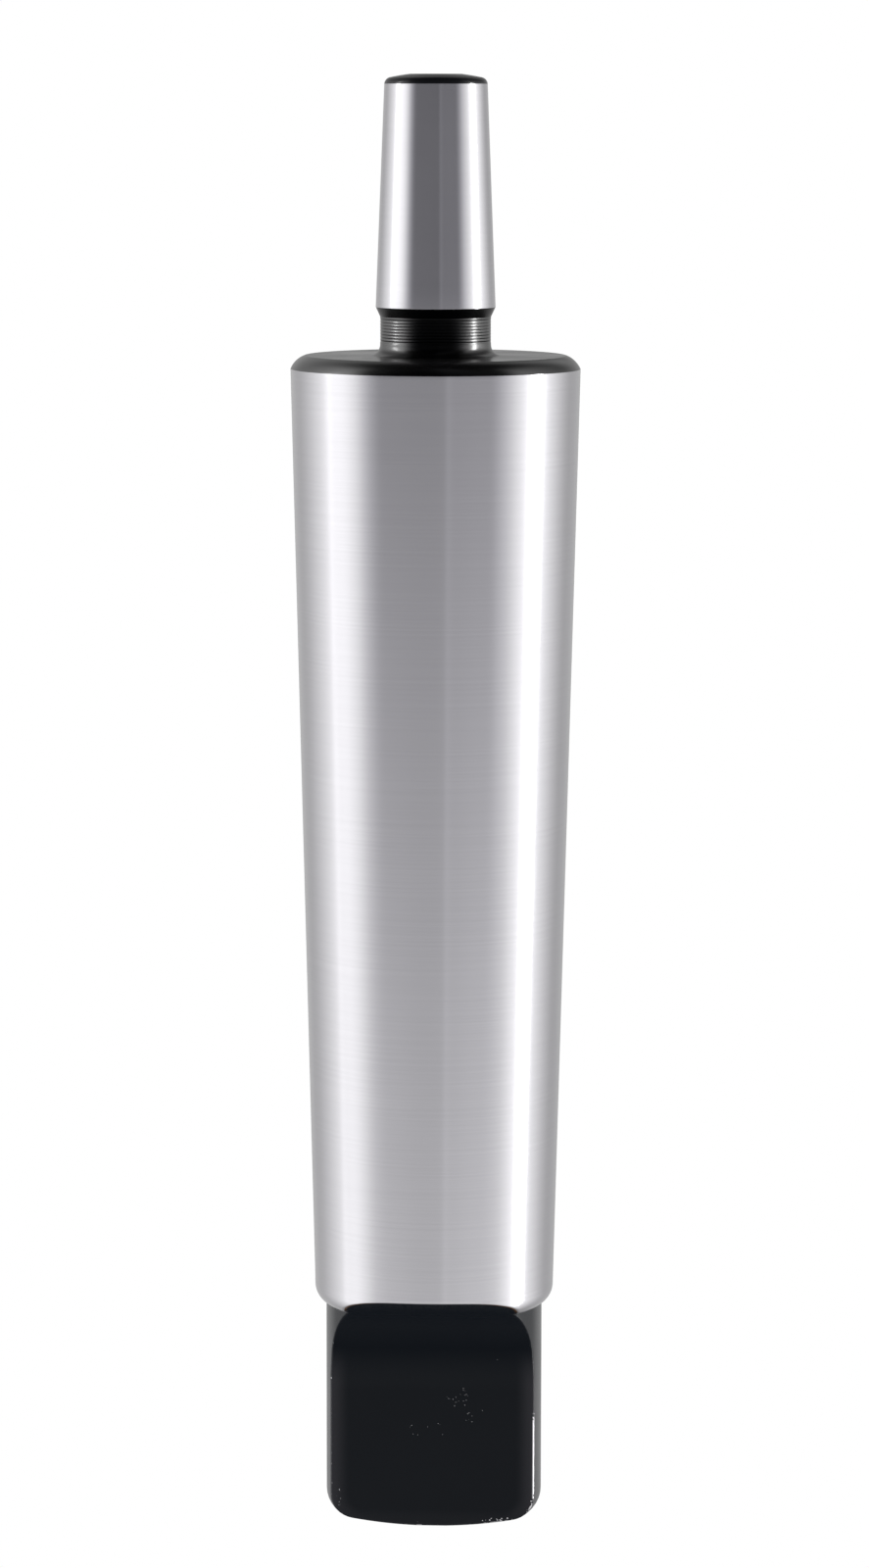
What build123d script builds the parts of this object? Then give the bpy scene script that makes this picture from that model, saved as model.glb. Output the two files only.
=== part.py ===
import os
from math import radians, sqrt, tan

from build123d import *

# Drill chuck arbor: a number 3 self-holding machine taper with a tang, turned in
# one piece with a number 1 short taper that the chuck is pressed on. Millimetres.
# The arbor stands on the end of its tang: the origin is the middle of that end,
# and +Z runs up its axis. The flats of the tang face +Y and -Y.

# Taper shank
gauge_diameter = 23.825
gauge_depth = 5.0  # from the large end down to the gauge line
shank_taper = 1 / 19.922  # change of diameter along the axis
shank_length = 98.0  # end of the tang to the large end
small_end_round = 1.5  # edge of the cone above the tang

# Tang
tang_diameter = 18.3
tang_reach = 19.0  # end of the tang to the bottom of the cone
tang_thickness = 6.2
tang_flat_length = 13.0  # straight part of the milled flats
tang_runout_radius = 8.0  # left by the milling cutter
tang_corner_radius = 2.1
tang_crown_radius = 40.0  # the end is domed around its faced middle
tang_foot_diameter = 6.4  # the faced middle, which the arbor stands on

# Shoulder
shoulder_height = 1.1  # large end up to the shoulder's face
shoulder_bevel_width = 1.2
shoulder_bevel_radius = 3.2  # the bevel is slightly crowned
shoulder_rim_round = 0.5

# Neck
neck_diameter = 9.2
neck_length = 3.2  # shoulder's face up to the nose's lower bevel
neck_fillet = 0.9
ring_pitch = 0.25  # turning marks left around the neck
ring_width = 0.22
ring_depth = 0.03

# Taper nose
nose_end_diameter = 8.469
nose_taper = 0.92508 / 12  # change of diameter along the axis
nose_length = 19.1
nose_bevel_height = 0.8  # lower edge of the nose down to the neck
nose_end_round = 0.9

# Centre holes that the arbor is turned and ground between
centre_mouth_diameter = 4.25
centre_pilot_diameter = 2.0
centre_pilot_depth = 2.0
centre_angle = 60.0
centre_tip_angle = 120.0

cutter_clearance = 5.0  # how far a cutter's path runs past the metal

# Radii and heights that follow from those sizes
large_radius = gauge_diameter / 2 + gauge_depth * shank_taper / 2
small_radius = large_radius - (shank_length - tang_reach) * shank_taper / 2
tang_radius = tang_diameter / 2
tang_face = tang_thickness / 2
foot_radius = tang_foot_diameter / 2
shoulder_face = shank_length + shoulder_height
shoulder_rim_radius = large_radius - shoulder_bevel_width
neck_radius = neck_diameter / 2
neck_top = shoulder_face + neck_length
nose_edge = neck_top + nose_bevel_height
nose_end = nose_edge + nose_length
nose_end_radius = nose_end_diameter / 2
nose_edge_radius = nose_end_radius + nose_length * nose_taper / 2

with BuildPart() as arbor:
    # Shank: a plain cone with its lower edge rounded off
    with BuildSketch(Plane.XZ):
        with BuildLine():
            Polyline(
                (0, tang_reach),
                (small_radius, tang_reach),
                (large_radius, shank_length),
                (0, shank_length),
                close=True,
            )
        make_face()
        small_corner = vertices().sort_by_distance((small_radius, tang_reach))[0]
        fillet(small_corner, radius=small_end_round)
    revolve(axis=Axis.Z)

    # Tang as it is turned: a bar with a domed end, a faced foot and a round corner
    with BuildSketch(Plane.XZ):
        Rectangle(tang_radius, tang_reach + small_end_round, align=Align.MIN)
        with Locations((0, sqrt(tang_crown_radius**2 - foot_radius**2))):
            Circle(tang_crown_radius, mode=Mode.INTERSECT)
        tang_corner = vertices().sort_by_distance((tang_radius, 0))[0]
        fillet(tang_corner, radius=tang_corner_radius)
    revolve(axis=Axis.Z)

    # Shoulder, neck and nose, turned in one profile
    with BuildSketch(Plane.XZ):
        with BuildLine():
            large_end = Line((0, shank_length), (large_radius, shank_length))
            bevel = RadiusArc(
                large_end @ 1,
                (shoulder_rim_radius, shoulder_face),
                -shoulder_bevel_radius,
            )
            Polyline(
                bevel @ 1,
                (neck_radius, shoulder_face),
                (neck_radius, neck_top),
                (nose_edge_radius, nose_edge),
                (nose_end_radius, nose_end),
                (0, nose_end),
                large_end @ 0,
            )
        make_face()
        rim = vertices().sort_by_distance((shoulder_rim_radius, shoulder_face))[0]
        fillet(rim, radius=shoulder_rim_round)
        neck_root = vertices().sort_by_distance((neck_radius, shoulder_face))[0]
        fillet(neck_root, radius=neck_fillet)
        nose_corner = vertices().sort_by_distance((nose_end_radius, nose_end))[0]
        fillet(nose_corner, radius=nose_end_round)

        # Turning marks on the neck's straight part, with one pitch left free
        straight = neck_length - neck_fillet
        ring_count = int(straight / ring_pitch) - 1
        with Locations((neck_radius, neck_top - straight / 2)):
            with GridLocations(ring_pitch, ring_pitch, 1, ring_count):
                Polygon(
                    (0, ring_width / 2),
                    (-ring_depth, 0),
                    (0, -ring_width / 2),
                    mode=Mode.SUBTRACT,
                )
    revolve(axis=Axis.Z)

    # Flats of the tang: the cutter runs along X and leaves its own radius above
    with BuildSketch(Plane.YZ):
        with BuildLine():
            cut_depth = Line((tang_face, -cutter_clearance), (tang_face, tang_flat_length))
            runout_centre = (tang_face + tang_runout_radius, tang_flat_length)
            runout = CenterArc(runout_centre, tang_runout_radius, 180, -90)
            Polyline(
                runout @ 1,
                (large_radius + cutter_clearance, (runout @ 1).Y),
                (large_radius + cutter_clearance, -cutter_clearance),
                cut_depth @ 0,
            )
        make_face()
        mirror(about=Plane.YZ)
    extrude(amount=large_radius, both=True, mode=Mode.SUBTRACT)

    # Centre holes, one in each end
    mouth_radius = centre_mouth_diameter / 2
    pilot_radius = centre_pilot_diameter / 2
    cone_depth = (mouth_radius - pilot_radius) / tan(radians(centre_angle / 2))
    pilot_end = cone_depth + centre_pilot_depth
    hole_end = pilot_end + pilot_radius / tan(radians(centre_tip_angle / 2))
    for end_face, inward in ((0, 1), (nose_end, -1)):
        with BuildSketch(Plane.XZ):
            with BuildLine():
                Polyline(
                    (0, end_face),
                    (mouth_radius, end_face),
                    (pilot_radius, end_face + inward * cone_depth),
                    (pilot_radius, end_face + inward * pilot_end),
                    (0, end_face + inward * hole_end),
                    close=True,
                )
            make_face()
        revolve(axis=Axis.Z, mode=Mode.SUBTRACT)

arbor.part.label = "arbor"
os.makedirs("parts", exist_ok=True)
export_step(arbor.part, "parts/arbor.step")
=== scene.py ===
from math import acos, atan2, cos, degrees, hypot, radians, sin, sqrt, tan

import bpy
from mathutils import Euler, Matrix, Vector


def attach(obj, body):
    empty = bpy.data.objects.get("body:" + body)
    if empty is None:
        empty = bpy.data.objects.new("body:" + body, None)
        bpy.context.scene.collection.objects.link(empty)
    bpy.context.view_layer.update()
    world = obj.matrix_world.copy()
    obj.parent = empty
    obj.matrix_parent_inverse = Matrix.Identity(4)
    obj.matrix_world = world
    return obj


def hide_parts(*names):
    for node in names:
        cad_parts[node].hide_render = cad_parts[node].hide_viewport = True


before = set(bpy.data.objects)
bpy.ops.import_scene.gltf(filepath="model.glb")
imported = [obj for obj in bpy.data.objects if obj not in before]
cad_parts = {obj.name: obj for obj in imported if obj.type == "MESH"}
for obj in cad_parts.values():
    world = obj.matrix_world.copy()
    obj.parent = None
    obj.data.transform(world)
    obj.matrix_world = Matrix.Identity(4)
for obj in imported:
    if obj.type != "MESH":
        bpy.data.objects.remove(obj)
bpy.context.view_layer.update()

mm = 0.001  # the dictionaries below are in millimetres, Blender works in metres
white = (1, 1, 1, 1)
nodesInRow = 14  # how the nodes are laid out in the editor
nodeSpacing = (200, -280)


# Node helpers, the same for geometry, shader and world trees

def openSocket(sockets, name):
    if isinstance(name, int):
        return sockets[name]
    return next(s for s in sockets if s.name == name and s.enabled)


def fill(tree, socket, value):  # a link if the value comes from another node
    if isinstance(value, bpy.types.NodeSocket):
        tree.links.new(value, socket)
    else:
        socket.default_value = value


def addNode(tree, kind, inputs=None, **settings):
    placed = len(tree.nodes)
    node = tree.nodes.new(kind)
    node.location = (nodeSpacing[0] * (placed % nodesInRow), nodeSpacing[1] * (placed // nodesInRow))
    for name, value in settings.items():
        setattr(node, name, value)
    for name, value in (inputs or {}).items():
        fill(tree, openSocket(node.inputs, name), value)
    return node


def useGroup(tree, kind, group, inputs):
    return addNode(tree, kind, inputs, node_tree=group).outputs


def calc(tree, operation, *values):
    return addNode(tree, "ShaderNodeMath", dict(enumerate(values)), operation=operation).outputs[0]


def product(tree, first, *others):
    for other in others:
        first = calc(tree, "MULTIPLY", first, other)
    return first


def calcVector(tree, operation, *values):
    node = addNode(tree, "ShaderNodeVectorMath", dict(enumerate(values)), operation=operation)
    return next(s for s in node.outputs if s.enabled)


def scaled(tree, vector, factor):
    inputs = {0: vector, "Scale": factor}
    return addNode(tree, "ShaderNodeVectorMath", inputs, operation="SCALE").outputs[0]


def combine(tree, x=0.0, y=0.0, z=0.0):
    return addNode(tree, "ShaderNodeCombineXYZ", {"X": x, "Y": y, "Z": z}).outputs[0]


def separate(tree, vector):
    return addNode(tree, "ShaderNodeSeparateXYZ", {"Vector": vector}).outputs


def softStep(tree, value, low, high, start=0.0, end=1.0):
    inputs = {"Value": value, "From Min": low, "From Max": high, "To Min": start, "To Max": end}
    return addNode(tree, "ShaderNodeMapRange", inputs, interpolation_type="SMOOTHSTEP").outputs[0]


def between(tree, share, start, end):  # the start where the share is 0, the end where it is 1
    inputs = {"Value": share, "To Min": start, "To Max": end}
    return addNode(tree, "ShaderNodeMapRange", inputs).outputs[0]


def blendColor(tree, factor, first, second):
    node = addNode(tree, "ShaderNodeMix", data_type="RGBA")
    for socket, value in zip([s for s in node.inputs if s.enabled], (factor, first, second)):
        fill(tree, socket, value)
    return next(s for s in node.outputs if s.enabled)


def newGroup(name, kind, inputs, outputs):
    tree = bpy.data.node_groups.new(name, kind)
    for side, sockets in (("INPUT", inputs), ("OUTPUT", outputs)):
        for socketName, (socketType, default) in sockets.items():
            socket = tree.interface.new_socket(socketName, in_out=side, socket_type=socketType)
            if default is not None:
                socket.default_value = default
    return tree, addNode(tree, "NodeGroupInput").outputs


def newMaterial(name):
    material = bpy.data.materials.new(name)
    material.use_nodes = True
    material.node_tree.nodes.clear()
    return material, material.node_tree


# Outline helpers: an outline is a list of (radius, height) points in millimetres

def arcPoints(centre, radius, start, end, steps):
    points = []
    for k in range(steps + 1):
        angle = radians(start + (end - start) * k / steps)
        points.append((centre[0] + radius * cos(angle), centre[1] + radius * sin(angle)))
    return points


def linePoints(start, end, steps):  # the points between the two ends
    return [tuple(a + (b - a) * k / steps for a, b in zip(start, end)) for k in range(1, steps)]


def softCorner(before, corner, after, radius, steps=4):  # an arc that touches both straight sides
    ways = []
    for end in (before, after):
        length = hypot(end[0] - corner[0], end[1] - corner[1])
        ways.append(((end[0] - corner[0]) / length, (end[1] - corner[1]) / length))
    middle = (ways[0][0] + ways[1][0], ways[0][1] + ways[1][1])
    half = acos(ways[0][0] * ways[1][0] + ways[0][1] * ways[1][1]) / 2
    reach = radius / sin(half) / hypot(*middle)
    centre = (corner[0] + middle[0] * reach, corner[1] + middle[1] * reach)
    angles = []
    for way in ways:
        touch = [c + w * radius / tan(half) for c, w in zip(corner, way)]
        angles.append(degrees(atan2(touch[1] - centre[1], touch[0] - centre[0])))
    turn = (angles[1] - angles[0] + 180) % 360 - 180
    return arcPoints(centre, radius, angles[0], angles[0] + turn, steps)


# Arbor: one turned and milled piece. Change a size here and the mesh follows.

arbor = {
    "gaugeDiameter": 23.825,
    "gaugeDepth": 5.0,  # from the large end down to the gauge line
    "shankTaper": 1 / 19.922,
    "shankLength": 98.0,
    "smallEndRound": 1.5,
    "tangDiameter": 18.3,
    "tangReach": 19.0,  # end of the tang to the bottom of the cone
    "tangThickness": 6.2,
    "tangFlatLength": 13.0,
    "tangRunoutRadius": 8.0,
    "tangCornerRadius": 2.1,
    "tangCrownRadius": 40.0,
    "tangFootDiameter": 6.4,
    "shoulderHeight": 1.1,
    "shoulderBevelWidth": 1.2,
    "shoulderBevelRadius": 2.0,
    "shoulderRimRound": 0.5,
    "neckDiameter": 9.2,
    "neckLength": 3.2,
    "neckFillet": 0.9,
    "ringPitch": 0.25,
    "ringDepth": 0.03,
    "ringCount": 8,
    "noseEndDiameter": 8.469,
    "noseTaper": 0.92508 / 12,
    "noseLength": 19.1,
    "noseBevelHeight": 0.8,
    "noseEndRound": 0.6,
    "noseCrownRadius": 18.0,  # the end face is turned very slightly domed
    "wheelOverrun": 3.0,  # degrees of the nose's end round that the grinding wheel still reaches
    "centreMouthDiameter": 4.25,
    "centrePilotDiameter": 2.0,
    "centrePilotDepth": 2.0,
    "centreAngle": 60.0,
    "centreTipAngle": 120.0,
    "brokenEdge": 0.06,  # every turned edge is broken by a small round
    "groundEdge": 0.05,  # edges at the large ends of the two tapers
    "cutEdge": 0.14,  # edges that the flats of the tang leave
    "sideColumns": 26,  # mesh columns in a quarter turn, round side and flat
    "flatColumns": 30,
    "footInsets": (0.3, 0.18, 0.1, 0.045, 0.012, 0.0),  # rows close up towards the foot's edge
    "stepOffsets": (-0.08, -0.02, 0.0, 0.01, 0.04),  # rows about the step under the cone
    "archBand": 1.2,  # rows stay close this far above the cutter's arch
    "endBand": 0.3,  # the cone's last plain row lies this far below its large end
    "faceMargin": 0.15,  # rows on the shoulder's face, in from its edges
    "holeMargin": 0.1,  # the nose's last row, out from the centre hole
    "leastRow": 0.003,  # rows closer than this are left out
    "steps": {  # rows in each form, upwards
        "dome": 14,
        "corner": 8,
        "side": 9,
        "cut": 34,
        "smallRound": 12,
        "archBand": 8,
        "cone": 24,
        "bevel": 8,
        "rim": 5,
        "fillet": 9,
        "ring": 8,
        "nose": 12,
        "overrun": 3,
        "endRound": 9,
        "crown": 5,
    },
    "tries": 20,  # each brings a height nearer to where two surfaces meet
}


def centreHole(size):  # from its tip on the axis out to its mouth, in an end face at height 0
    mouth = size["centreMouthDiameter"] / 2
    pilot = size["centrePilotDiameter"] / 2
    coneDepth = (mouth - pilot) / tan(radians(size["centreAngle"] / 2))
    pilotEnd = coneDepth + size["centrePilotDepth"]
    tip = (0.0, pilotEnd + pilot / tan(radians(size["centreTipAngle"] / 2)))
    corners = [tip, (pilot, pilotEnd), (pilot, coneDepth), (mouth, 0.0), (mouth + 1, 0.0)]
    points = [tip]
    for before, corner, after in zip(corners, corners[1:], corners[2:]):
        points += softCorner(before, corner, after, size["brokenEdge"])
    return points


def arborOutline(size):  # rows of (radius, height, black, inset), from one tip to the other
    rows = []
    steps = size["steps"]

    def add(points, black, inset=0.0):
        rows.extend((radius, height, black, inset) for radius, height in points)

    slope = size["shankTaper"] / 2
    shankLength = size["shankLength"]
    largeRadius = size["gaugeDiameter"] / 2 + size["gaugeDepth"] * slope
    tangRadius = size["tangDiameter"] / 2
    footRadius = size["tangFootDiameter"] / 2
    face = size["tangThickness"] / 2
    flatLength = size["tangFlatLength"]
    runout = size["tangRunoutRadius"]
    smallRound = size["smallEndRound"]

    def coneRadius(height):
        return largeRadius - (shankLength - height) * slope

    def spread(start, end, count):  # heights up to the end, without the start
        return [start + (end - start) * k / count for k in range(1, count + 1)]

    # Tang's end: centre hole, faced foot, dome and corner
    add(centreHole(size), True)
    for inset in size["footInsets"]:
        add([(footRadius - inset, 0.0)], True, inset)
    crown = size["tangCrownRadius"]
    crownHeight = sqrt(crown**2 - footRadius**2)
    corner = size["tangCornerRadius"]
    cornerHeight = crownHeight - sqrt((crown - corner) ** 2 - (tangRadius - corner) ** 2)
    cornerStart = degrees(atan2(cornerHeight - crownHeight, tangRadius - corner))
    domeEnd = crown * cos(radians(cornerStart))
    for k in range(1, steps["dome"]):
        radius = footRadius + (domeEnd - footRadius) * (k / steps["dome"]) ** 2
        add([(radius, crownHeight - sqrt(crown**2 - radius**2))], True)
    cornerCentre = (tangRadius - corner, cornerHeight)
    add(arcPoints(cornerCentre, corner, cornerStart, 0, steps["corner"]), True)

    # Tang's side and the cone, whose rows follow the edge that the cutter leaves
    roundHeight = size["tangReach"] + smallRound
    roundCentre = coneRadius(roundHeight) - smallRound * hypot(1, slope)
    stepHeight = roundHeight - sqrt(smallRound**2 - (tangRadius - roundCentre) ** 2)
    roundTop = roundHeight - smallRound * sin(atan2(slope, 1))

    def shankRadius(height):
        if height <= stepHeight:
            return tangRadius
        if height < roundTop:
            return roundCentre + sqrt(smallRound**2 - (roundHeight - height) ** 2)
        return coneRadius(height)

    cutTop = flatLength + runout
    for _ in range(size["tries"]):
        cutTop = flatLength + sqrt(runout**2 - (face + runout - coneRadius(cutTop)) ** 2)
    topRadius = coneRadius(cutTop)
    heights = spread(cornerHeight, flatLength, steps["side"])
    cutStart = degrees(atan2(face, sqrt(topRadius**2 - face**2)))
    for k in range(1, steps["cut"]):
        half = topRadius * sin(radians(cutStart + (90 - cutStart) * k / steps["cut"]))
        heights.append(flatLength + sqrt(runout**2 - (face + runout - half) ** 2))
    heights.append(cutTop)
    heights += [stepHeight + offset for offset in size["stepOffsets"]]
    roundStart = degrees(atan2(stepHeight - roundHeight, tangRadius - roundCentre))
    roundStop = -2  # just short of where the cone begins
    smallArc = arcPoints(
        (roundCentre, roundHeight), smallRound, roundStart, roundStop, steps["smallRound"]
    )
    heights += [height for radius, height in smallArc[1:]]
    band = steps["archBand"]
    heights += [cutTop + size["archBand"] * (k / band) ** 2 for k in range(1, band + 1)]
    heights += spread(cutTop + size["archBand"], shankLength - size["endBand"], steps["cone"])
    lastHeight = cornerHeight
    for height in sorted(heights):
        if height - lastHeight > size["leastRow"] or height == cutTop:
            add([(shankRadius(height), height)], height <= stepHeight)
            lastHeight = height

    # Large end, crowned bevel, shoulder and neck
    shoulderFace = shankLength + size["shoulderHeight"]
    rimRadius = largeRadius - size["shoulderBevelWidth"]
    bevel = size["shoulderBevelRadius"]
    chord = hypot(largeRadius - rimRadius, shoulderFace - shankLength)
    back = sqrt(bevel**2 - chord**2 / 4) / chord
    bevelCentre = (
        (largeRadius + rimRadius) / 2 - (shoulderFace - shankLength) * back,
        (shankLength + shoulderFace) / 2 - (largeRadius - rimRadius) * back,
    )
    bevelStart = degrees(atan2(shankLength - bevelCentre[1], largeRadius - bevelCentre[0]))
    rimRound = size["shoulderRimRound"]
    rimHeight = shoulderFace - rimRound
    rimCentre = bevelCentre[0] + sqrt((bevel - rimRound) ** 2 - (rimHeight - bevelCentre[1]) ** 2)
    rimStart = degrees(atan2(rimHeight - bevelCentre[1], rimCentre - bevelCentre[0]))
    bevelPoints = arcPoints(bevelCentre, bevel, bevelStart, rimStart, steps["bevel"])
    onCone = (coneRadius(shankLength - 1), shankLength - 1)
    largeEdge = softCorner(onCone, bevelPoints[0], bevelPoints[1], size["groundEdge"])
    add(largeEdge[:1], False)
    add(largeEdge[1:] + bevelPoints[1:-1], True)
    add(arcPoints((rimCentre, rimHeight), rimRound, rimStart, 90, steps["rim"]), True)
    neckRadius = size["neckDiameter"] / 2
    neckRound = size["neckFillet"]
    filletCentre = (neckRadius + neckRound, shoulderFace + neckRound)
    add([(rimCentre - size["faceMargin"], shoulderFace)], True)
    add([(filletCentre[0] + size["faceMargin"], shoulderFace)], True)
    add(arcPoints(filletCentre, neckRound, -90, -180, steps["fillet"]), True)
    neckTop = shoulderFace + size["neckLength"]
    ringStart = (filletCentre[1] + neckTop - size["ringCount"] * size["ringPitch"]) / 2
    for k in range(size["ringCount"] * steps["ring"] + 1):
        add([(neckRadius, ringStart + k * size["ringPitch"] / steps["ring"])], True)

    # Nose: bevelled lower edge, cone, rounded and domed end, centre hole
    noseEdge = neckTop + size["noseBevelHeight"]
    noseEnd = noseEdge + size["noseLength"]
    noseSlope = size["noseTaper"] / 2
    endRadius = size["noseEndDiameter"] / 2
    edgeRadius = endRadius + size["noseLength"] * noseSlope
    bevelFoot = (neckRadius, neckTop)
    bevelTop = (edgeRadius, noseEdge)
    add(softCorner((neckRadius, neckTop - 1), bevelFoot, bevelTop, size["brokenEdge"]), True)
    noseCorner = softCorner(bevelFoot, bevelTop, (endRadius, noseEnd), size["groundEdge"])
    add(noseCorner[:1], True)
    add(noseCorner[1:], False)
    endRound = size["noseEndRound"]
    tilt = degrees(atan2(noseSlope, 1))
    groundEnd = tilt + size["wheelOverrun"]
    mouth = size["centreMouthDiameter"] / 2
    crown = size["noseCrownRadius"]
    crownHeight = noseEnd - sqrt(crown**2 - mouth**2)
    roundHeight = noseEnd - endRound
    for _ in range(size["tries"]):
        roundRadius = endRadius + (noseEnd - roundHeight) * noseSlope - endRound * hypot(1, noseSlope)
        roundHeight = crownHeight + sqrt((crown - endRound) ** 2 - roundRadius**2)
    roundMiddle = (roundRadius, roundHeight)
    crownStart = degrees(atan2(roundHeight - crownHeight, roundRadius))
    crownEnd = degrees(atan2(noseEnd - crownHeight, mouth + size["holeMargin"]))
    overrun = arcPoints(roundMiddle, endRound, tilt, groundEnd, steps["overrun"])
    add(linePoints(noseCorner[-1], overrun[0], steps["nose"]), False)
    add(overrun[:-1], False)
    add(arcPoints(roundMiddle, endRound, groundEnd, crownStart, steps["endRound"]), True)
    add(arcPoints((0.0, crownHeight), crown, crownStart, crownEnd, steps["crown"])[1:], True)
    add([(radius, noseEnd - height) for radius, height in reversed(centreHole(size))], True)
    return rows, ringStart, noseEnd


def outlineMesh(rows):  # the outline as an edge chain, with what the tree reads on its points
    points = [(radius * mm, 0.0, height * mm) for radius, height, black, inset in rows]
    mesh = bpy.data.meshes.new("arborOutline")
    mesh.from_pydata(points, [(k, k + 1) for k in range(len(points) - 1)], [])
    facings = []
    for k in range(len(points)):
        before, after = points[max(k - 1, 0)], points[min(k + 1, len(points) - 1)]
        along = Vector(after) - Vector(before)
        facings.extend(Vector((along.z, 0, -along.x)).normalized())
    mesh.attributes.new("facing", "FLOAT_VECTOR", "POINT").data.foreach_set("vector", facings)
    blacks = [float(black) for radius, height, black, inset in rows]
    mesh.attributes.new("blackRow", "FLOAT", "POINT").data.foreach_set("value", blacks)
    insets = [inset * mm for radius, height, black, inset in rows]
    mesh.attributes.new("inset", "FLOAT", "POINT").data.foreach_set("value", insets)
    return mesh


cutInputs = {
    "Flat Half Thickness": ("NodeSocketFloat", 0.0),
    "Flat Length": ("NodeSocketFloat", 0.0),
    "Run-out Radius": ("NodeSocketFloat", 0.0),
    "Cut Edge": ("NodeSocketFloat", 0.0),
}


def softenCutGroup():  # moves points near the cutter's edge onto a small round between both surfaces
    inputs = {
        "Place": ("NodeSocketVector", None),
        "Row": ("NodeSocketVector", None),
        "Facing": ("NodeSocketVector", None),
        **cutInputs,
    }
    outputs = {"Place": ("NodeSocketVector", None), "Edge Distance": ("NodeSocketFloat", None)}
    tree, given = newGroup("softenCut", "GeometryNodeTree", inputs, outputs)
    place, edge = given["Place"], given["Cut Edge"]
    x, y, z = separate(tree, place)
    rowX, _, rowZ = separate(tree, given["Row"])
    facingX, _, facingZ = separate(tree, given["Facing"])

    # Turned side: distance to the surface of this row, or to the plane under the foot
    radial = calcVector(tree, "NORMALIZE", combine(tree, x, y))
    radius = calcVector(tree, "LENGTH", combine(tree, x, y))
    outwards = calc(tree, "MULTIPLY", calc(tree, "SUBTRACT", radius, rowX), facingX)
    upwards = calc(tree, "MULTIPLY", calc(tree, "SUBTRACT", z, rowZ), facingZ)
    turned = calc(tree, "ADD", outwards, upwards)
    underFoot = calc(tree, "MULTIPLY", z, -1.0)
    footNearer = calc(tree, "GREATER_THAN", underFoot, turned)
    turned = calc(tree, "MAXIMUM", turned, underFoot)
    turnedWay = calcVector(tree, "ADD", scaled(tree, radial, facingX), combine(tree, z=facingZ))
    turnedWay = calcVector(
        tree,
        "ADD",
        scaled(tree, turnedWay, calc(tree, "SUBTRACT", 1.0, footNearer)),
        scaled(tree, combine(tree, z=-1.0), footNearer),
    )

    # Milled side: a flat that turns into the cutter's radius
    side = calc(tree, "SIGN", y)
    centreY = calc(tree, "ADD", given["Flat Half Thickness"], given["Run-out Radius"])
    inwards = calc(tree, "SUBTRACT", centreY, calc(tree, "ABSOLUTE", y))
    above = calc(tree, "MAXIMUM", calc(tree, "SUBTRACT", z, given["Flat Length"]), 0.0)
    fromCentre = calcVector(tree, "LENGTH", combine(tree, inwards, above))
    milled = calc(tree, "SUBTRACT", given["Run-out Radius"], fromCentre)
    sideways = calc(tree, "MULTIPLY", inwards, side)
    downwards = calc(tree, "MULTIPLY", above, -1.0)
    milledWay = calcVector(tree, "NORMALIZE", combine(tree, y=sideways, z=downwards))

    # One step towards the round that touches both
    turnedPart = calc(tree, "MAXIMUM", calc(tree, "ADD", edge, turned), 0.0)
    milledPart = calc(tree, "MAXIMUM", calc(tree, "ADD", edge, milled), 0.0)
    reach = calcVector(tree, "LENGTH", combine(tree, turnedPart, milledPart))
    outside = calc(tree, "SUBTRACT", reach, edge)
    way = calcVector(
        tree, "ADD", scaled(tree, turnedWay, turnedPart), scaled(tree, milledWay, milledPart)
    )
    size = calcVector(tree, "LENGTH", way)
    stepLength = calc(tree, "DIVIDE", calc(tree, "MULTIPLY", outside, reach), size)
    step = scaled(tree, calcVector(tree, "NORMALIZE", way), stepLength)
    moved = calcVector(tree, "SUBTRACT", place, step)
    distance = calc(tree, "MULTIPLY", calc(tree, "MINIMUM", turned, milled), -1.0)
    addNode(tree, "NodeGroupOutput", {"Place": moved, "Edge Distance": distance})
    return tree


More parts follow.
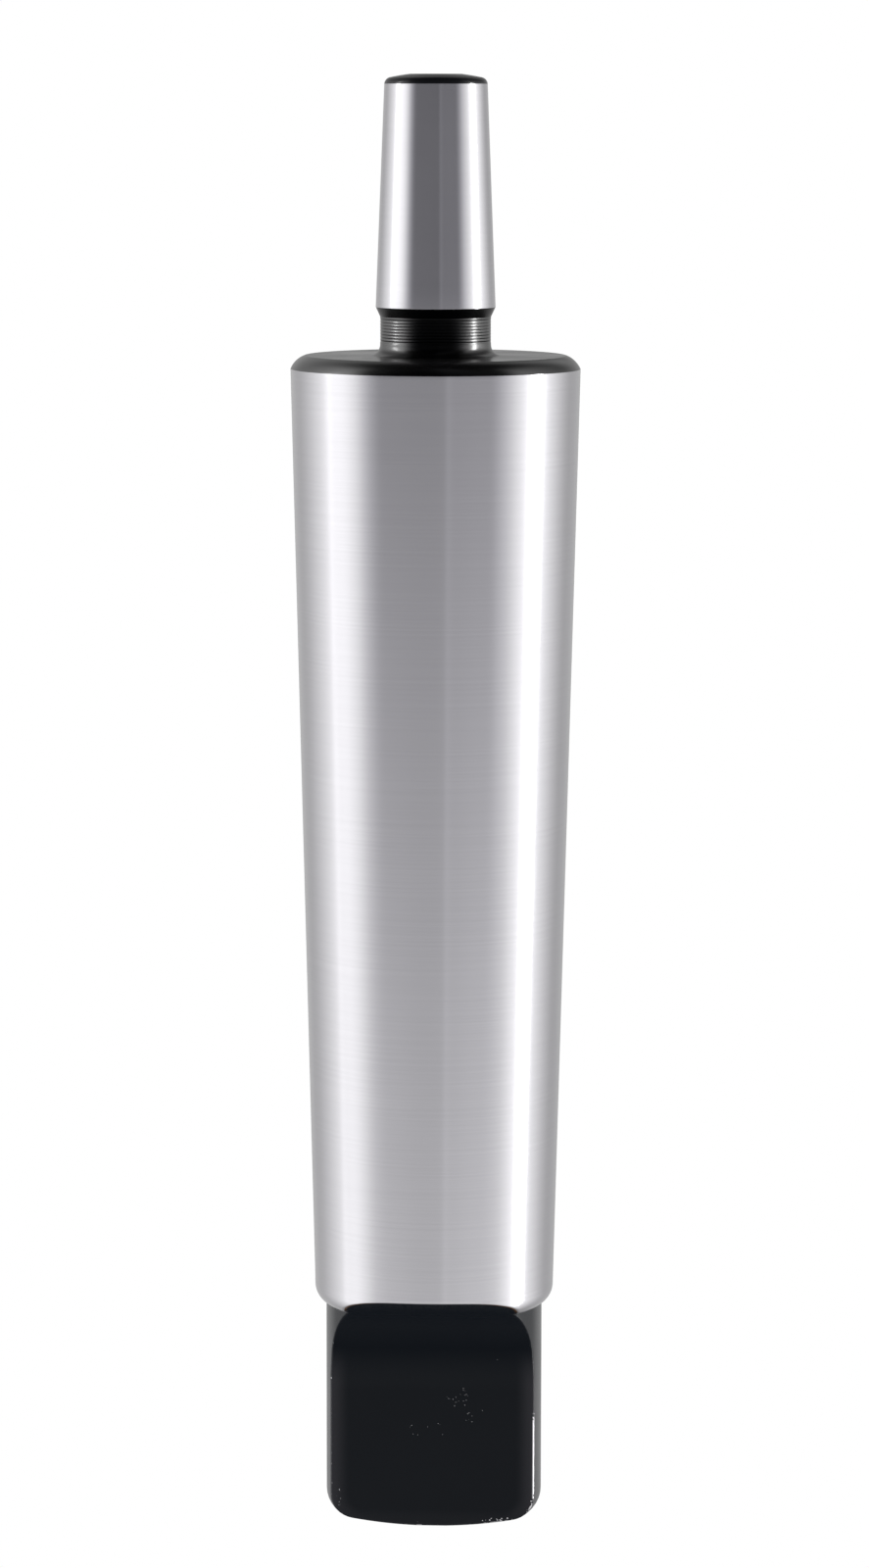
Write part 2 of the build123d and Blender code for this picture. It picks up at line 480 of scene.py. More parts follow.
def turnAndMillTree():
    leastRadius = 1e-9  # for the division at the tips of the centre holes, in metres
    cutTolerance = 2e-6
    mergeDistance = 1.5e-6
    columnTolerance = -1e-4  # the column on the edge itself belongs to the flat
    inputs = {
        "Geometry": ("NodeSocketGeometry", None),
        "Side Columns": ("NodeSocketInt", 0),
        "Flat Columns": ("NodeSocketInt", 0),
        **cutInputs,
        "Ring Start": ("NodeSocketFloat", 0.0),
        "Ring Pitch": ("NodeSocketFloat", 0.0),
        "Ring Count": ("NodeSocketInt", 0),
        "Ring Depth": ("NodeSocketFloat", 0.0),
        "Ground Steel": ("NodeSocketMaterial", None),
        "Black Oxide": ("NodeSocketMaterial", None),
    }
    outputs = {"Geometry": ("NodeSocketGeometry", None)}
    tree, given = newGroup("turnAndMill", "GeometryNodeTree", inputs, outputs)
    outline = given["Geometry"]

    # A grid with a row for each outline point, and columns round the axis
    rowCount = addNode(tree, "GeometryNodeAttributeDomainSize", {"Geometry": outline}).outputs[0]
    quarter = calc(tree, "ADD", given["Side Columns"], given["Flat Columns"])
    columns = calc(tree, "MULTIPLY_ADD", quarter, 4.0, 1.0)
    grid = addNode(tree, "GeometryNodeMeshGrid", {"Vertices X": columns, "Vertices Y": rowCount})
    index = addNode(tree, "GeometryNodeInputIndex").outputs[0]
    column = calc(tree, "FLOOR", calc(tree, "DIVIDE", calc(tree, "ADD", index, 0.5), rowCount))
    row = calc(tree, "SUBTRACT", index, calc(tree, "MULTIPLY", column, rowCount))

    def onRow(value, kind):
        inputs = {"Geometry": outline, "Value": value, "Index": row}
        return addNode(tree, "GeometryNodeSampleIndex", inputs, data_type=kind).outputs[0]

    def named(name, kind):
        node = addNode(tree, "GeometryNodeInputNamedAttribute", {"Name": name}, data_type=kind)
        return openSocket(node.outputs, "Attribute")

    rowPlace = onRow(addNode(tree, "GeometryNodeInputPosition").outputs[0], "FLOAT_VECTOR")
    facing = onRow(named("facing", "FLOAT_VECTOR"), "FLOAT_VECTOR")
    inset = onRow(named("inset", "FLOAT"), "FLOAT")
    blackRow = onRow(named("blackRow", "FLOAT"), "FLOAT")
    radius, _, height = separate(tree, rowPlace)

    # Turning marks: one shallow arc for each pitch
    aboveStart = calc(tree, "SUBTRACT", height, given["Ring Start"])
    along = calc(tree, "DIVIDE", aboveStart, given["Ring Pitch"])
    pastFirst = calc(tree, "GREATER_THAN", along, 0.0)
    beforeLast = calc(tree, "LESS_THAN", along, given["Ring Count"])
    across = calc(tree, "MULTIPLY_ADD", calc(tree, "FRACT", along), 2.0, -1.0)
    arch = calc(tree, "SUBTRACT", 1.0, calc(tree, "MULTIPLY", across, across))
    groove = product(tree, arch, pastFirst, beforeLast, given["Ring Depth"])
    radius = calc(tree, "SUBTRACT", radius, groove)

    # Half the thickness that the cutter leaves at this height
    above = calc(tree, "MAXIMUM", calc(tree, "SUBTRACT", height, given["Flat Length"]), 0.0)
    runout = given["Run-out Radius"]
    cutDrop = calc(
        tree, "SUBTRACT", calc(tree, "MULTIPLY", runout, runout), calc(tree, "MULTIPLY", above, above)
    )
    cutReach = calc(tree, "SQRT", calc(tree, "MAXIMUM", cutDrop, 0.0))
    half = calc(tree, "SUBTRACT", calc(tree, "ADD", given["Flat Half Thickness"], runout), cutReach)
    half = calc(tree, "SUBTRACT", half, inset)
    half = calc(tree, "ADD", half, calc(tree, "GREATER_THAN", above, runout))  # no cut higher up

    # Columns keep to the edge of the flat: some on the round side, the rest on the flat
    turn = calc(tree, "DIVIDE", column, quarter)
    inQuarter = calc(tree, "PINGPONG", turn, 1.0)
    sideShare = calc(tree, "DIVIDE", given["Side Columns"], quarter)
    flatShare = calc(tree, "SUBTRACT", 1.0, sideShare)
    onSide = calc(tree, "MINIMUM", calc(tree, "DIVIDE", inQuarter, sideShare), 1.0)
    fromSide = calc(tree, "SUBTRACT", inQuarter, sideShare)
    onFlat = calc(tree, "MAXIMUM", calc(tree, "DIVIDE", fromSide, flatShare), 0.0)
    sideLeft = calc(tree, "SUBTRACT", 1.0, onSide)
    sideEase = calc(tree, "SUBTRACT", 1.0, calc(tree, "MULTIPLY", sideLeft, sideLeft))
    flatEase = calc(tree, "SUBTRACT", 1.0, calc(tree, "MULTIPLY", onFlat, onFlat))
    safeRadius = calc(tree, "MAXIMUM", radius, leastRadius)
    cutSine = calc(tree, "MINIMUM", calc(tree, "DIVIDE", half, safeRadius), 1.0)
    angle = calc(tree, "MULTIPLY", calc(tree, "ARCSINE", cutSine), sideEase)
    fromBack = calc(tree, "ABSOLUTE", calc(tree, "SUBTRACT", turn, 2.0))
    signX = calc(tree, "SIGN", calc(tree, "SUBTRACT", fromBack, 1.0))
    signY = calc(tree, "SIGN", calc(tree, "SUBTRACT", 2.0, turn))
    placeX = product(tree, radius, calc(tree, "COSINE", angle), flatEase, signX)
    placeY = product(tree, radius, calc(tree, "SINE", angle), signY)
    place = combine(tree, placeX, placeY, height)

    # The edge is softened in two steps, the second one from where the first ended
    cutSizes = {name: given[name] for name in cutInputs}
    soften = softenCutGroup()
    rowSizes = {"Row": combine(tree, radius, 0.0, height), "Facing": facing, **cutSizes}
    first = useGroup(tree, "GeometryNodeGroup", soften, {"Place": place, **rowSizes})
    second = useGroup(tree, "GeometryNodeGroup", soften, {"Place": first["Place"], **rowSizes})

    # Black oxide: its rows of the outline, and all that the cutter made
    isCut = calc(tree, "LESS_THAN", half, calc(tree, "ADD", radius, cutTolerance))
    isFlat = calc(tree, "MULTIPLY", isCut, calc(tree, "GREATER_THAN", fromSide, columnTolerance))
    black = calc(tree, "GREATER_THAN", calc(tree, "ADD", blackRow, isFlat), 0.5)

    def store(mesh, name, value, kind, domain):
        inputs = {"Geometry": mesh, "Name": name, "Value": value}
        node = addNode(tree, "GeometryNodeStoreNamedAttribute", inputs, data_type=kind, domain=domain)
        return node.outputs[0]

    mesh = store(grid.outputs[0], "blackPoint", black, "BOOLEAN", "POINT")
    mesh = store(mesh, "edgeDistance", first["Edge Distance"], "FLOAT", "POINT")
    mesh = store(mesh, "blackFace", named("blackPoint", "BOOLEAN"), "BOOLEAN", "FACE")
    blackFace = named("blackFace", "BOOLEAN")
    for kind, inputs in (
        ("GeometryNodeSetPosition", {"Position": second["Place"]}),
        ("GeometryNodeMergeByDistance", {"Distance": mergeDistance}),
        ("GeometryNodeSetShadeSmooth", {}),
        ("GeometryNodeRealizeInstances", {}),
        ("GeometryNodeSetMaterial", {"Material": given["Ground Steel"]}),
        ("GeometryNodeSetMaterial", {"Material": given["Black Oxide"], "Selection": blackFace}),
    ):
        mesh = addNode(tree, kind, {"Geometry": mesh, **inputs}).outputs[0]
    addNode(tree, "NodeGroupOutput", {"Geometry": mesh})
    return tree


def buildArbor(size, groundSteel, blackOxide):
    rows, ringStart, noseEnd = arborOutline(size)
    piece = bpy.data.objects.new("turnedArbor", outlineMesh(rows))
    bpy.context.scene.collection.objects.link(piece)
    tree = turnAndMillTree()
    modifier = piece.modifiers.new("turnAndMill", "NODES")
    modifier.node_group = tree
    values = {
        "Side Columns": size["sideColumns"],
        "Flat Columns": size["flatColumns"],
        "Flat Half Thickness": size["tangThickness"] / 2 * mm,
        "Flat Length": size["tangFlatLength"] * mm,
        "Run-out Radius": size["tangRunoutRadius"] * mm,
        "Cut Edge": size["cutEdge"] * mm,
        "Ring Start": ringStart * mm,
        "Ring Pitch": size["ringPitch"] * mm,
        "Ring Count": size["ringCount"],
        "Ring Depth": size["ringDepth"] * mm,
        "Ground Steel": groundSteel,
        "Black Oxide": blackOxide,
    }
    for socket in tree.interface.items_tree:
        if socket.in_out == "INPUT" and socket.name in values:
            modifier[socket.identifier] = values[socket.name]
    piece.update_tag()
    depsgraph = bpy.context.evaluated_depsgraph_get()
    made = piece.evaluated_get(depsgraph)
    mesh = bpy.data.meshes.new_from_object(made, preserve_all_data_layers=True, depsgraph=depsgraph)
    piece.modifiers.clear()
    piece.data = mesh
    for name in ("blackPoint", "blackFace"):
        mesh.attributes.remove(mesh.attributes[name])
    return piece, noseEnd


# Finishes

def grainGroup():  # fine marks that run round the axis, and soft patches
    inputs = {
        "Around": ("NodeSocketFloat", 40.0),
        "Along": ("NodeSocketFloat", 5000.0),
        "Detail": ("NodeSocketFloat", 3.0),
        "Patch Scale": ("NodeSocketFloat", 180.0),
        "Patch Detail": ("NodeSocketFloat", 4.0),
    }
    outputs = {"Grain": ("NodeSocketFloat", None), "Patches": ("NodeSocketFloat", None)}
    tree, given = newGroup("turnedGrain", "ShaderNodeTree", inputs, outputs)
    place = addNode(tree, "ShaderNodeTexCoord").outputs["Object"]
    stretch = combine(tree, given["Around"], given["Around"], given["Along"])
    stretched = calcVector(tree, "MULTIPLY", place, stretch)
    noises = {
        "Grain": {"Vector": stretched, "Scale": 1.0, "Detail": given["Detail"]},
        "Patches": {"Vector": place, "Scale": given["Patch Scale"], "Detail": given["Patch Detail"]},
    }
    made = {}
    for name, noise in noises.items():
        made[name] = openSocket(addNode(tree, "ShaderNodeTexNoise", noise).outputs, "Fac")
    addNode(tree, "NodeGroupOutput", made)
    return tree


def turnedMarks(tree, finish, grain):  # grain, roughness and a faint bump
    ways = {"Around": finish["around"], "Along": finish["along"]}
    marks = useGroup(tree, "ShaderNodeGroup", grain, ways)
    roughness = softStep(tree, marks["Patches"], *finish["patchRange"], *finish["roughness"])
    inputs = {"Strength": finish["bump"], "Distance": finish["bumpDepth"], "Height": marks["Grain"]}
    return marks["Grain"], roughness, addNode(tree, "ShaderNodeBump", inputs).outputs[0]


def makeGroundSteel(finish, grain):
    material, tree = newMaterial("groundSteel")
    marks, roughness, bump = turnedMarks(tree, finish, grain)
    light = softStep(tree, marks, *finish["grainRange"])
    tangent = addNode(tree, "ShaderNodeTangent", direction_type="RADIAL", axis="Z")
    shader = addNode(
        tree,
        "ShaderNodeBsdfPrincipled",
        {
            "Base Color": blendColor(tree, light, finish["darkColor"], finish["lightColor"]),
            "Metallic": 1.0,
            "Roughness": roughness,
            "Anisotropic": finish["anisotropic"],
            "Anisotropic Rotation": 0.25,  # the highlights stretch along the axis
            "Tangent": tangent.outputs[0],
            "Normal": bump,
        },
    )
    addNode(tree, "ShaderNodeOutputMaterial", {"Surface": shader.outputs[0]})
    return material


def nearPlaces(tree, place, spots, core=0.4):  # the greatest share among the spots: whole in the core
    x, _, z = separate(tree, place)
    total = 0.0
    for spotX, height, reachX, reachZ, share in spots:
        across = calc(tree, "DIVIDE", calc(tree, "SUBTRACT", x, spotX * mm), reachX * mm)
        up = calc(tree, "DIVIDE", calc(tree, "SUBTRACT", z, height * mm), reachZ * mm)
        away = calcVector(tree, "LENGTH", combine(tree, across, 0.0, up))
        total = calc(tree, "MAXIMUM", total, softStep(tree, away, core, 1.0, share, 0.0))
    return total


def onFront(tree, place, depth=-1.0):  # the front flat and its edges lie in front of this depth
    return calc(tree, "LESS_THAN", separate(tree, place)["Y"], depth * mm)


def fleckGroup(name, spots):  # clusters of tiny flecks on the front of the tang
    inputs = {"Cells": ("NodeSocketFloat", 9.0), "Size": ("NodeSocketFloat", 0.25)}
    tree, given = newGroup(name, "ShaderNodeTree", inputs, {"Flecks": ("NodeSocketFloat", None)})
    place = addNode(tree, "ShaderNodeTexCoord").outputs["Object"]
    inputs = {"Vector": scaled(tree, place, 1 / mm), "Scale": given["Cells"], "Randomness": 1.0}
    cells = addNode(tree, "ShaderNodeTexVoronoi", inputs).outputs
    inside = calc(tree, "LESS_THAN", cells["Distance"], given["Size"])
    chance = separate(tree, cells["Color"])["X"]
    chosen = calc(tree, "LESS_THAN", chance, nearPlaces(tree, place, spots))
    flecks = product(tree, chosen, inside, onFront(tree, place))
    addNode(tree, "NodeGroupOutput", {"Flecks": flecks})
    return tree


def wornEdgeAndSheenGroup(finish):  # bare metal on the front flat's edge, a painted sheen that greys the flats towards their edges, and a warm line beside it
    inputs = {"Edge Distance": ("NodeSocketFloat", 0.0)}
    outputs = {name: ("NodeSocketFloat", None) for name in ("Worn", "Sheen", "Warm")}
    tree, given = newGroup("wornEdgeAndSheen", "ShaderNodeTree", inputs, outputs)
    place = addNode(tree, "ShaderNodeTexCoord").outputs["Object"]
    distance = calc(tree, "MULTIPLY", given["Edge Distance"], 1 / mm)
    height = calc(tree, "MULTIPLY", separate(tree, place)["Z"], 1 / mm)
    inputs = {"Vector": place, "Scale": finish["wearScale"], "Detail": finish["wearDetail"]}
    rough = openSocket(addNode(tree, "ShaderNodeTexNoise", inputs).outputs, "Fac")
    uneven = calc(tree, "MULTIPLY_ADD", rough, 2.0, -1.0)
    spots = nearPlaces(tree, place, finish["edgeWear"])
    worn = product(
        tree,
        softStep(tree, distance, *finish["wornWidth"], 1.0, 0.0),
        softStep(tree, calc(tree, "ADD", spots, uneven), *finish["wearRange"]),
        onFront(tree, place),
    )
    edgeSheen = product(
        # painted sheen: lighter grey near the flats' edges, fading out higher up and weaker at the foot
        tree,
        softStep(tree, distance, 0.0, finish["edgeSheenWidth"], 1.0, 0.0),
        softStep(tree, height, *finish["edgeSheenTop"], 1.0, 0.0),
        softStep(tree, height, *finish["edgeSheenFoot"], finish["edgeSheenFootShare"], 1.0),
    )
    warm = product(
        tree,
        softStep(tree, distance, *finish["warmWidth"], 1.0, 0.0),
        softStep(tree, height, *finish["warmFoot"]),
        softStep(tree, height, *finish["warmTop"], 1.0, 0.0),
    )
    addNode(tree, "NodeGroupOutput", {"Worn": worn, "Sheen": edgeSheen, "Warm": warm})
    return tree


def makeBlackOxide(finish, grain):
    material, tree = newMaterial("blackOxide")
    _, roughness, bump = turnedMarks(tree, finish, grain)
    place = addNode(tree, "ShaderNodeTexCoord").outputs["Object"]
    height = calc(tree, "MULTIPLY", separate(tree, place)["Z"], 1 / mm)
    upper = softStep(tree, height, *finish["neckHeights"])
    onNose = softStep(tree, height, *finish["noseHeights"])

    # Gloss: weak seen from the front, stronger on the turned neck; cut on the undersides, on upward
    # ledges and at the neck's root as painted shade
    facing = addNode(tree, "ShaderNodeLayerWeight", {"Blend": 0.5}).outputs["Facing"]
    normal = addNode(tree, "ShaderNodeNewGeometry").outputs["Normal"]
    upwards = separate(tree, normal)["Z"]
    onTang = softStep(tree, facing, *finish["tangRimRange"], *finish["tangSpecular"])
    turned = between(tree, upper, onTang, finish["neckSpecular"])
    # painted shade: the fillet at the neck's root and upward ledges lose gloss
    root = softStep(tree, height, *finish["rootShadeHeights"], 0.0, finish["rootShadeLean"])
    shadeLean = calc(tree, "ADD", upwards, root)
    gloss = product(
        tree,
        softStep(tree, facing, *finish["specularRange"], finish["frontSpecular"], turned),
        softStep(tree, upwards, *finish["undersideShadeEdge"], finish["undersideShadeShare"], 1.0),
        softStep(tree, shadeLean, *finish["ledgeShadeEdge"], 1.0, finish["ledgeShadeShare"]),
        between(tree, onNose, 1.0, finish["noseShare"]),
    )

    # Wear
    distance = addNode(tree, "ShaderNodeAttribute", attribute_name="edgeDistance").outputs["Fac"]
    edge = useGroup(tree, "ShaderNodeGroup", wornEdgeAndSheenGroup(finish), {"Edge Distance": distance})
    bare = edge["Worn"]
    for name in ("scuffs", "chips"):
        cells, size, spots = finish[name]
        inputs = {"Cells": cells, "Size": size}
        flecks = useGroup(tree, "ShaderNodeGroup", fleckGroup(name, spots), inputs)
        bare = calc(tree, "MAXIMUM", bare, flecks["Flecks"])
    color = blendColor(tree, upper, finish["tangColor"], finish["neckColor"])
    color = blendColor(tree, onNose, color, finish["noseColor"])
    # painted sheen towards the flats' edges
    color = blendColor(tree, edge["Sheen"], color, finish["edgeSheenColor"])
    color = blendColor(tree, edge["Warm"], color, finish["warmColor"])
    color = blendColor(tree, bare, color, finish["steelColor"])
    shader = addNode(
        tree,
        "ShaderNodeBsdfPrincipled",
        {
            "Base Color": color,
            "Metallic": bare,
            "Roughness": between(tree, bare, roughness, finish["steelRoughness"]),
            "Specular IOR Level": gloss,
            "Normal": bump,
        },
    )
    addNode(tree, "ShaderNodeOutputMaterial", {"Surface": shader.outputs[0]})
    return material


steelFinish = {
    "darkColor": (0.607, 0.599, 0.624, 1),
    "lightColor": (0.627, 0.619, 0.644, 1),
    "grainRange": (0.35, 0.65),  # of the noise, from dark to light
    "roughness": (0.2, 0.21),
    "patchRange": (0.3, 0.7),
    "anisotropic": 0.75,
    "around": 60.0,
    "along": 16000.0,
    "bump": 0.05,
    "bumpDepth": 0.000002,  # in metres
}

oxideFinish = {
    "tangColor": (0.0058, 0.0078, 0.0112, 1),
    "neckColor": (0.0006, 0.0007, 0.001, 1),
    "neckHeights": (30.0, 95.0),  # from the tang's finish to the neck's, hidden by the ground cone
    "noseColor": (0.012, 0.0125, 0.0145, 1),
    "noseHeights": (105.0, 118.0),
    "roughness": (0.2, 0.26),
    "patchRange": (0.3, 0.7),
    "specularRange": (0.03, 0.25),  # how far a surface turns away before it shines fully
    "frontSpecular": 0.12,
    "tangSpecular": (0.4, 2.0),  # the tang shines more where it turns away further
    "tangRimRange": (0.58, 0.85),
    "neckSpecular": 1.6,
    "undersideShadeShare": 0.14,  # of the gloss, on faces that look down: painted shade
    "undersideShadeEdge": (-0.3, 0.02),
    "ledgeShadeShare": 0.35,  # of the gloss, on faces that look up: painted shade
    "ledgeShadeEdge": (0.6, 0.95),
    "rootShadeHeights": (99.1, 99.3),  # painted shade: the fillet at the neck's root loses gloss like a ledge
    "rootShadeLean": 0.3,
    "noseShare": 0.22,  # of the neck's gloss, on the nose's end
    "around": 60.0,
    "along": 3000.0,
    "bump": 0.1,
    "bumpDepth": 0.000003,  # in metres
    "edgeSheenColor": (0.034, 0.034, 0.04, 1),  # painted sheen: the flats turn grey towards their edges, standing in for light off their rolled edges
    "edgeSheenWidth": 1.5,
    "edgeSheenTop": (12.0, 16.0),
    "edgeSheenFoot": (0.3, 2.5),
    "edgeSheenFootShare": 0.2,
    "warmColor": (0.085, 0.04, 0.016, 1),  # a brown line at both ends of the cutter's arch
    "warmWidth": (0.02, 0.16),
    "warmFoot": (19.3, 19.7),
    "warmTop": (20.5, 20.9),
    "steelColor": (0.62, 0.61, 0.63, 1),  # bare metal where the oxide is worn off
    "steelRoughness": 0.3,
    "wornWidth": (0.06, 0.14),
    "wearScale": 4500.0,  # the noise that breaks the worn edge up
    "wearDetail": 2.0,
    "wearRange": (0.35, 0.55),
    # where the front flat's edge is worn: x, height, reach across and up, share
    "edgeWear": [
        (9.0, 6.0, 2.5, 4.8, 1.4),
        (8.6, 1.6, 0.9, 0.8, 0.5),
        (5.3, 0.4, 1.5, 0.8, 0.6),
        (-1.1, 0.1, 0.3, 0.4, 1.2),
        (-7.9, 2.6, 0.6, 1.4, 0.45),
    ],
    # flecks on the front flat: cells in a millimetre, size in a cell, and where, in the same way
    "scuffs": (
        8.0,
        0.21,
        [
            (1.9, 10.9, 1.4, 1.2, 0.1),
            (3.2, 9.8, 1.3, 1.0, 0.08),
            (0.7, 8.6, 1.2, 0.9, 0.08),
            (2.8, 11.6, 0.6, 0.6, 0.15),
            (5.5, 14.5, 0.4, 0.5, 0.2),
            (6.8, 10.2, 0.6, 0.6, 0.15),
            (-1.0, 8.2, 1.6, 0.8, 0.04),
        ],
    ),
    "chips": (
        5.0,
        0.32,
        [
            (4.4, 0.5, 0.4, 0.3, 0.9),
            (5.2, 0.55, 0.8, 0.25, 0.9),
            (6.1, 0.62, 0.8, 0.25, 0.9),
            (8.3, 1.8, 0.5, 0.7, 0.5),
            (-1.1, 0.2, 0.3, 0.3, 1.0),
            (-7.95, 2.6, 0.2, 1.3, 0.8),
        ],
    ),
}


# Studio: a light tent with a bright panel each side, a white floor and the camera.
# Edges are angles in degrees: azimuths from the front, or elevations where noted.

studio = {
    "seam": 0.01,  # half the width of the soft seam between left and right
    "frontTone": 0.82,
    "sideTone": (0.56, 0.52),  # left, right
    "sideEdge": (60.0, 110.0),
    "cardTone": 0.15,
    "cardTint": (0.97, 0.965, 1.05, 1),
    "cardEdge": (45.0, 72.0),
    "cardShift": (5.0, 0.0),  # left, right
    "tableEdge": (-18.0, -2.0),  # elevations, where the card ends above the pale table
    "lowTone": 0.5,  # share of the tent's light that is left far down
    "lowEdge": (-60.0, -25.0),  # elevations
    "panelInner": (62.0, 92.0),
    "panelOuter": (80.0, 142.0),
    "panelShift": (8.5, 0.0),  # left, right: the left panel starts nearer to the front
    "panelTopShift": (3.0, -5.0),  # left, right, above the level of the camera
    "panelTopEdge": (-5.0, 3.0),  # elevations
    "panelFoot": (-70.0, -40.0),  # elevations
    "panelRise": (0.84, 1.25),  # below, above
    "panelRiseEdge": (-20.0, 8.0),  # elevations
    "panelStrength": (0.67, 0.95),  # left, right
    "panelGlow": (5.0, 60.0),
    "panelGlowShare": 0.18,
    "upperShare": (0.85, 0.4),  # left, right
    "upperEdge": (5.0, 25.0),  # elevations
    "backTone": (0.6, 0.18),  # high up behind, to both sides and in the middle
    "backEdge": (140.0, 165.0),
    "backMiddle": (160.0, 180.0),
    "stripAzimuth": 92.0,
    "stripWidth": 5.5,
    "stripStrength": (10.0, 24.0),  # left, right
    "stripTop": (16.0, 28.0),  # elevations
    "stripTopRise": (7.0, 0.0),  # left, right
    "stripFoot": (-30.0, -14.0),  # elevations
    "stripLow": (0.02, 0.7),  # left, right, share of its light low down
    "stripLowEdge": (2.0, 14.0),  # elevations
    "ceilingTone": 0.008,
    "ceilingEdge": (42.0, 66.0),  # elevations
    "ceilingFront": (60.0, 95.0),
    "ceilingDrop": 26.0,  # the ceiling comes down lower in front
    "slitAzimuth": 13.0,  # to the right
    "slitWidth": 2.5,
    "slitStrength": 0.1,
    "sheetStep": 0.05,  # the sheet to the right of the slit is a little brighter
    "sheetStart": 4.0,  # before the slit
    "sheetEnd": (35.0, 70.0),
    "floorSize": 3000.0,
}

camera = {
    "azimuth": 2.5,
    "distance": 415.3,
    "height": 120.2,
    "pitch": 7.813,
    "focalPixels": 5099.0,
    "imageLongSide": 1600.0,
    "sensor": 36.0,
    "roll": 0.09,
    "aim": -0.03,
    "clipStart": 10.0,
    "clipEnd": 20000.0,
}


def buildWorld(studio):
    world = bpy.data.worlds.new("lightTent")
    bpy.context.scene.world = world
    world.use_nodes = True
    tree = world.node_tree
    tree.nodes.clear()
    direction = addNode(tree, "ShaderNodeTexCoord").outputs["Generated"]
    x, y, z = separate(tree, direction)
    toDegrees = degrees(1)
    turn = calc(tree, "ARCTAN2", x, calc(tree, "MULTIPLY", y, -1.0))
    turn = calc(tree, "MULTIPLY", turn, toDegrees)
    azimuth = calc(tree, "ABSOLUTE", turn)
    elevation = calc(tree, "MULTIPLY", calc(tree, "ARCSINE", z), toDegrees)

    def perSide(name):
        return softStep(tree, x, -studio["seam"], studio["seam"], *studio[name])

    def rising(value, name):
        return softStep(tree, value, *studio[name])

    def falling(value, name):
        return softStep(tree, value, *studio[name], 1.0, 0.0)

    # The tent itself, with a dark card round the camera, down to the pale table
    tent = between(tree, rising(azimuth, "sideEdge"), studio["frontTone"], perSide("sideTone"))
    cardWay = calc(tree, "ADD", azimuth, perSide("cardShift"))
    card = product(tree, falling(cardWay, "cardEdge"), rising(elevation, "tableEdge"))
    tent = between(tree, card, tent, studio["cardTone"])
    tent = product(tree, tent, softStep(tree, elevation, *studio["lowEdge"], studio["lowTone"], 1.0))

    # A tall soft panel each side, with a weak wide glow towards the front
    shifted = calc(tree, "ADD", azimuth, perSide("panelShift"))
    topShift = product(tree, rising(elevation, "panelTopEdge"), perSide("panelTopShift"))
    shifted = calc(tree, "ADD", shifted, topShift)
    glow = softStep(tree, azimuth, *studio["panelGlow"], 0.0, studio["panelGlowShare"])
    glow = product(tree, glow, calc(tree, "SUBTRACT", 1.0, card))
    panel = product(
        tree,
        calc(tree, "ADD", rising(shifted, "panelInner"), glow),
        falling(azimuth, "panelOuter"),
        rising(elevation, "panelFoot"),
        softStep(tree, elevation, *studio["panelRiseEdge"], *studio["panelRise"]),
        perSide("panelStrength"),
    )
    light = calc(tree, "ADD", tent, panel)

    # Above, both sides grow dimmer, and behind there is a tone of its own
    high = rising(elevation, "upperEdge")
    light = product(tree, light, between(tree, high, 1.0, perSide("upperShare")))
    behind = product(tree, rising(azimuth, "backEdge"), high)
    backTone = softStep(tree, azimuth, *studio["backMiddle"], *studio["backTone"])
    light = between(tree, behind, light, backTone)

    # A bare tube behind each panel, mostly in its upper half
    stripWay = calc(tree, "ABSOLUTE", calc(tree, "SUBTRACT", azimuth, studio["stripAzimuth"]))
    stripLevel = calc(tree, "SUBTRACT", elevation, perSide("stripTopRise"))
    strip = product(
        tree,
        softStep(tree, stripWay, 0.0, studio["stripWidth"], 1.0, 0.0),
        falling(stripLevel, "stripTop"),
        rising(elevation, "stripFoot"),
        between(tree, rising(elevation, "stripLowEdge"), perSide("stripLow"), 1.0),
        perSide("stripStrength"),
    )
    light = calc(tree, "ADD", light, strip)

    # The dark ceiling
    drop = softStep(tree, azimuth, *studio["ceilingFront"], studio["ceilingDrop"], 0.0)
    roof = rising(calc(tree, "ADD", elevation, drop), "ceilingEdge")
    light = between(tree, roof, light, studio["ceilingTone"])

    # The gap between two sheets of the tent, right of the camera
    slitAzimuth = studio["slitAzimuth"]
    slitWay = calc(tree, "ABSOLUTE", calc(tree, "SUBTRACT", turn, slitAzimuth))
    slit = softStep(tree, slitWay, 0.0, studio["slitWidth"], studio["slitStrength"], 0.0)
    sheetStart = slitAzimuth - studio["sheetStart"]
    sheet = softStep(tree, turn, sheetStart, slitAzimuth, 0.0, studio["sheetStep"])
    sheet = product(tree, sheet, falling(turn, "sheetEnd"))
    light = calc(tree, "ADD", light, calc(tree, "ADD", slit, sheet))

    # The camera itself sees plain white
    seen = addNode(tree, "ShaderNodeBackground", {"Color": white, "Strength": 1.0}).outputs[0]
    tint = blendColor(tree, card, white, studio["cardTint"])
    lit = addNode(tree, "ShaderNodeBackground", {"Color": tint, "Strength": light}).outputs[0]
    path = addNode(tree, "ShaderNodeLightPath").outputs
    mixed = addNode(tree, "ShaderNodeMixShader", {0: path["Is Camera Ray"], 1: lit, 2: seen})
    addNode(tree, "ShaderNodeOutputWorld", {"Surface": mixed.outputs[0]})


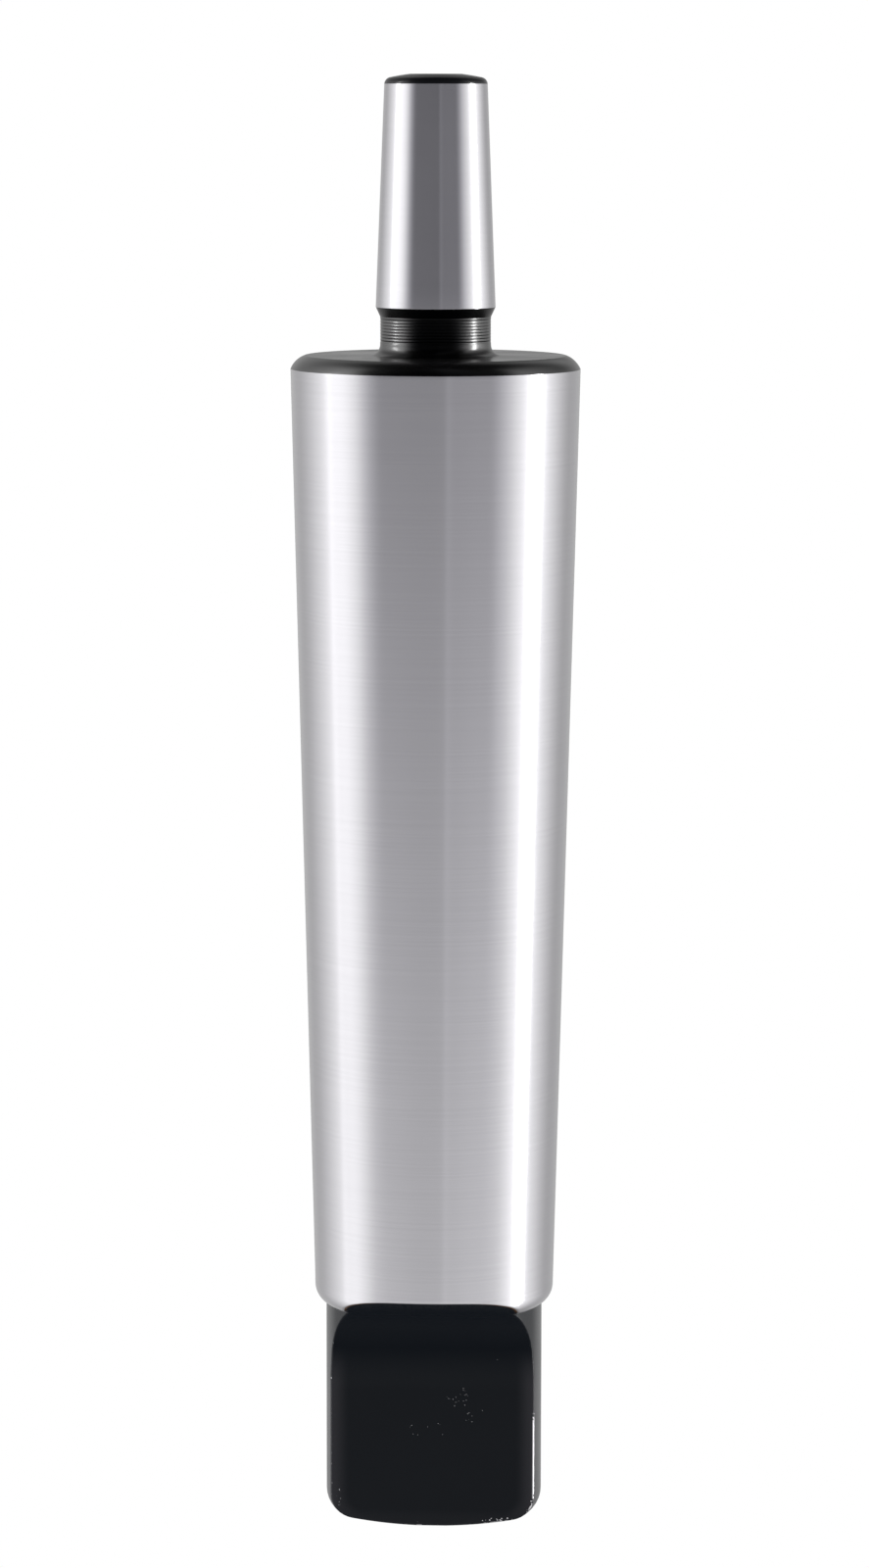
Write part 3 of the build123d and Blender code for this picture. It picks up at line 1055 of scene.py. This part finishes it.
def buildFloor(studio):
    half = studio["floorSize"] / 2 * mm
    corners = [(-half, -half, 0), (half, -half, 0), (half, half, 0), (-half, half, 0)]
    mesh = bpy.data.meshes.new("floor")
    mesh.from_pydata(corners, [], [(0, 1, 2, 3)])
    floor = bpy.data.objects.new("floor", mesh)
    bpy.context.scene.collection.objects.link(floor)
    material, tree = newMaterial("whiteFloor")
    lit = addNode(tree, "ShaderNodeEmission", {"Color": white, "Strength": 1.0}).outputs[0]
    clear = addNode(tree, "ShaderNodeBsdfTransparent").outputs[0]
    under = addNode(tree, "ShaderNodeNewGeometry").outputs["Backfacing"]
    mirror = addNode(tree, "ShaderNodeLightPath").outputs["Is Glossy Ray"]
    away = calc(tree, "MAXIMUM", under, mirror)
    mixed = addNode(tree, "ShaderNodeMixShader", {0: away, 1: lit, 2: clear})
    addNode(tree, "ShaderNodeOutputMaterial", {"Surface": mixed.outputs[0]})
    mesh.materials.append(material)


def buildCamera(camera):
    data = bpy.data.cameras.new("studioCamera")
    data.sensor_width = camera["sensor"]
    data.lens = camera["sensor"] * camera["focalPixels"] / camera["imageLongSide"]
    data.clip_start = camera["clipStart"] * mm
    data.clip_end = camera["clipEnd"] * mm
    body = bpy.data.objects.new("studioCamera", data)
    bpy.context.scene.collection.objects.link(body)
    azimuth = radians(camera["azimuth"])
    away = camera["distance"] * mm
    sideways = camera["aim"] * mm
    body.location = (
        away * sin(azimuth) + sideways * cos(azimuth),
        -away * cos(azimuth) + sideways * sin(azimuth),
        camera["height"] * mm,
    )
    pitch = Euler((radians(90 - camera["pitch"]), 0, azimuth)).to_matrix()
    roll = Euler((0, 0, radians(camera["roll"]))).to_matrix()
    body.rotation_euler = (pitch @ roll).to_euler()
    bpy.context.scene.camera = body


bpy.context.scene.view_settings.view_transform = "Standard"

print("Finishes")
grain = grainGroup()
groundSteel = makeGroundSteel(steelFinish, grain)
blackOxide = makeBlackOxide(oxideFinish, grain)

print("Arbor")
piece, noseEnd = buildArbor(arbor, groundSteel, blackOxide)
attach(piece, "root")
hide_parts("arbor")
print("  triangles:", sum(len(p.vertices) - 2 for p in piece.data.polygons))

print("Studio and camera")
buildWorld(studio)
buildFloor(studio)
buildCamera(camera)

print("Done")
